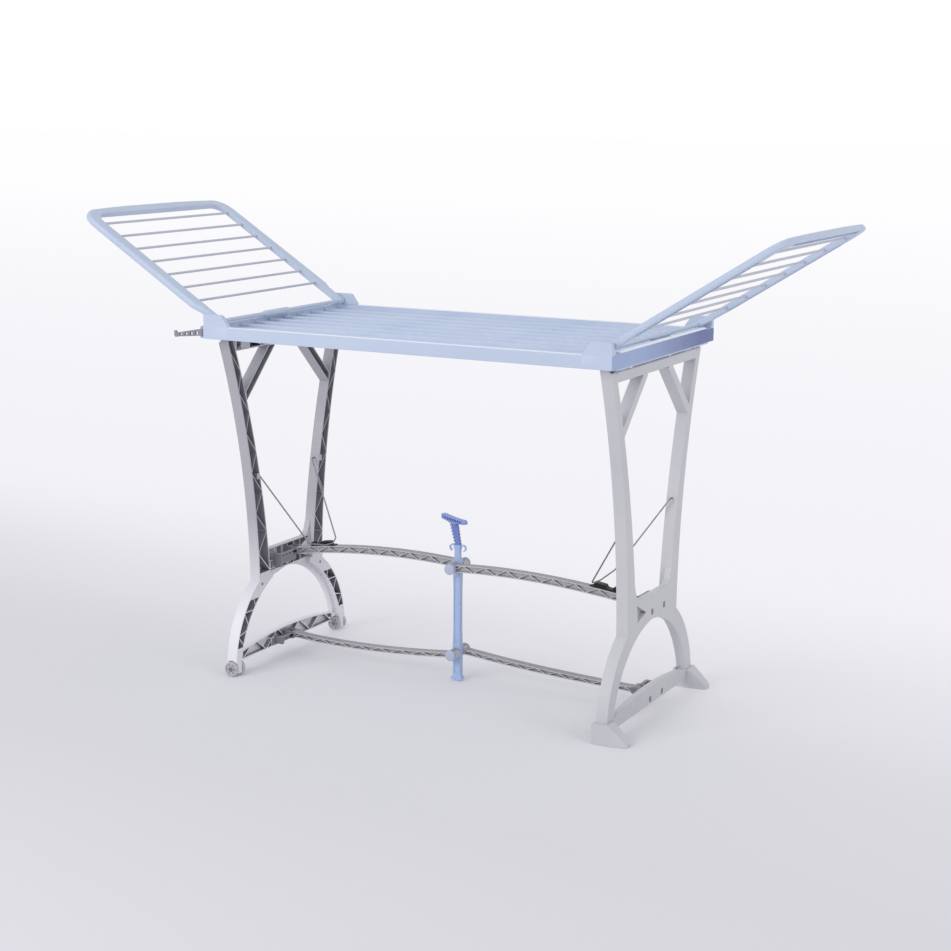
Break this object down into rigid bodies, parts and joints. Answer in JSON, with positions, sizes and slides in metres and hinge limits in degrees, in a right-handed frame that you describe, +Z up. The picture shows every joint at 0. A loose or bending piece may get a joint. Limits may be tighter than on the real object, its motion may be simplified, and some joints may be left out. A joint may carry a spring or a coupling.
{
  "type": "clothes drying rack",
  "caption": "Folding wheeled clothes drying rack: long slatted tray with raised wings on two leg frames joined by hinged stretchers and a middle post",
  "frame": {"origin": "on the floor, midway between the leg frames and midway between the front and rear feet", "axes": "X along the tray towards the leg frame with fixed feet, Y from front to back, Z up"},
  "size_m": [1.9718, 0.635, 1.2385],
  "materials": {
    "leg_plastic": "fine satin moulding",
    "stretcher_plastic": "fine satin moulding",
    "tray_plastic": "satin",
    "post_plastic": "satin",
    "grip_plastic": "satin",
    "clip_plastic": "satin",
    "wheel_plastic": "smooth",
    "hanger_plastic": "smooth",
    "steel": "drawn wire and turned pins"
  },
  "bodies": {
    "left_leg": {"left_upper_frame": "leg_plastic", "left_lower_frame": "leg_plastic", "left_frame_screws": "steel", "front_axle": "steel", "rear_axle": "steel", "left_upper_bracket": "stretcher_plastic", "left_lower_bracket": "stretcher_plastic", "left_bracket_pins": "steel", "tray_hinge_pins": "steel"},
    "front_wheels": {"front_wheels": "wheel_plastic"},
    "rear_wheels": {"rear_wheels": "wheel_plastic"},
    "upper_left_arm": {"upper_left_arm": "stretcher_plastic", "left_clip": "clip_plastic"},
    "post": {"handle_post": "post_plastic", "handle_grip": "grip_plastic", "handle_hooks": "post_plastic", "upper_hub_pin": "steel", "lower_hub_pin": "steel", "hub_caps": "post_plastic"},
    "upper_right_arm": {"upper_right_arm": "stretcher_plastic", "right_clip": "clip_plastic"},
    "right_leg": {"right_upper_frame": "leg_plastic", "right_lower_frame": "leg_plastic", "right_frame_screws": "steel", "right_front_foot": "leg_plastic", "right_rear_foot": "leg_plastic", "right_upper_bracket": "stretcher_plastic", "right_lower_bracket": "stretcher_plastic", "right_bracket_pins": "steel"},
    "lower_left_arm": {"lower_left_arm": "stretcher_plastic"},
    "lower_right_arm": {"lower_right_arm": "stretcher_plastic"},
    "left_stay": {"left_wire_stay": "steel"},
    "right_stay": {"right_wire_stay": "steel"},
    "tray": {"tray_front_rail": "tray_plastic", "tray_rear_rail": "tray_plastic", "tray_left_rail": "tray_plastic", "tray_right_rail": "tray_plastic", "tray_slats": "tray_plastic", "tray_cross_bars": "tray_plastic", "tray_corner_blocks": "tray_plastic", "tray_seats": "tray_plastic", "tray_hinge_lugs": "tray_plastic", "wing_pins": "tray_plastic", "hanger_pin": "steel"},
    "left_wing": {"left_wing_frame": "tray_plastic", "left_wing_rods": "tray_plastic", "left_wing_bar": "tray_plastic"},
    "right_wing": {"right_wing_frame": "tray_plastic", "right_wing_rods": "tray_plastic", "right_wing_bar": "tray_plastic"},
    "hanger_arm": {"hanger_arm": "hanger_plastic"}
  },
  "joints": [
    {"name": "frame_fold", "type": "hinge", "parent": "left_leg", "child": "upper_left_arm", "pos_m": [-0.515, 0, 0.293], "axis": [0, -1, 0], "range_deg": [0, 78]},
    {"name": "post_pivot", "type": "hinge", "parent": "upper_left_arm", "child": "post", "pos_m": [0, 0, 0.315], "axis": [0, -1, 0], "range_deg": [-78, 0]},
    {"name": "right_arm_pivot", "type": "hinge", "parent": "post", "child": "upper_right_arm", "pos_m": [0, 0, 0.315], "axis": [0, 1, 0], "range_deg": [0, 78]},
    {"name": "right_leg_pivot", "type": "hinge", "parent": "upper_right_arm", "child": "right_leg", "pos_m": [0.515, 0, 0.293], "axis": [0, -1, 0], "range_deg": [0, 78]},
    {"name": "lower_left_pivot", "type": "hinge", "parent": "left_leg", "child": "lower_left_arm", "pos_m": [-0.515, 0, 0.056], "axis": [0, -1, 0], "range_deg": [0, 78]},
    {"name": "lower_right_pivot", "type": "hinge", "parent": "post", "child": "lower_right_arm", "pos_m": [0, 0.024, 0.078], "axis": [0, 1, 0], "range_deg": [0, 78]},
    {"name": "left_stay_pivot", "type": "hinge", "parent": "left_leg", "child": "left_stay", "pos_m": [-0.544, 0, 0.53], "axis": [0, -1, 0], "range_deg": [0, 140]},
    {"name": "right_stay_pivot", "type": "hinge", "parent": "right_leg", "child": "right_stay", "pos_m": [0.544, 0, 0.53], "axis": [0, 1, 0], "range_deg": [0, 140]},
    {"name": "tray_hinge", "type": "hinge", "parent": "left_leg", "child": "tray", "pos_m": [-0.544, 0, 0.894], "axis": [0, -1, 0], "range_deg": [0, 90]},
    {"name": "left_wing_hinge", "type": "hinge", "parent": "tray", "child": "left_wing", "pos_m": [-0.548, 0, 0.9605], "axis": [0, 1, 0], "range_deg": [-32, 148]},
    {"name": "right_wing_hinge", "type": "hinge", "parent": "tray", "child": "right_wing", "pos_m": [0.548, 0, 0.9605], "axis": [0, -1, 0], "range_deg": [-32, 148]},
    {"name": "hanger_swing", "type": "hinge", "parent": "tray", "child": "hanger_arm", "pos_m": [-0.586, -0.3075, 0.93], "axis": [0, 0, 1], "range_deg": [-90, 90]},
    {"name": "front_wheel_spin", "type": "hinge", "parent": "left_leg", "child": "front_wheels", "pos_m": [-0.545, -0.254, 0.02], "axis": [0, 1, 0], "continuous": true},
    {"name": "rear_wheel_spin", "type": "hinge", "parent": "left_leg", "child": "rear_wheels", "pos_m": [-0.545, 0.254, 0.02], "axis": [0, 1, 0], "continuous": true}
  ],
  "couplings": [
    {"joint": "post_pivot", "follows": "frame_fold", "ratio": -1},
    {"joint": "right_arm_pivot", "follows": "frame_fold", "ratio": 1},
    {"joint": "right_leg_pivot", "follows": "frame_fold", "ratio": 1},
    {"joint": "lower_left_pivot", "follows": "frame_fold", "ratio": 1},
    {"joint": "lower_right_pivot", "follows": "frame_fold", "ratio": 1},
    {"joint": "left_stay_pivot", "follows": "frame_fold", "ratio": 1.79},
    {"joint": "right_stay_pivot", "follows": "frame_fold", "ratio": 1.79},
    {"joint": "tray_hinge", "follows": "frame_fold", "ratio": 1.1538}
  ]
}
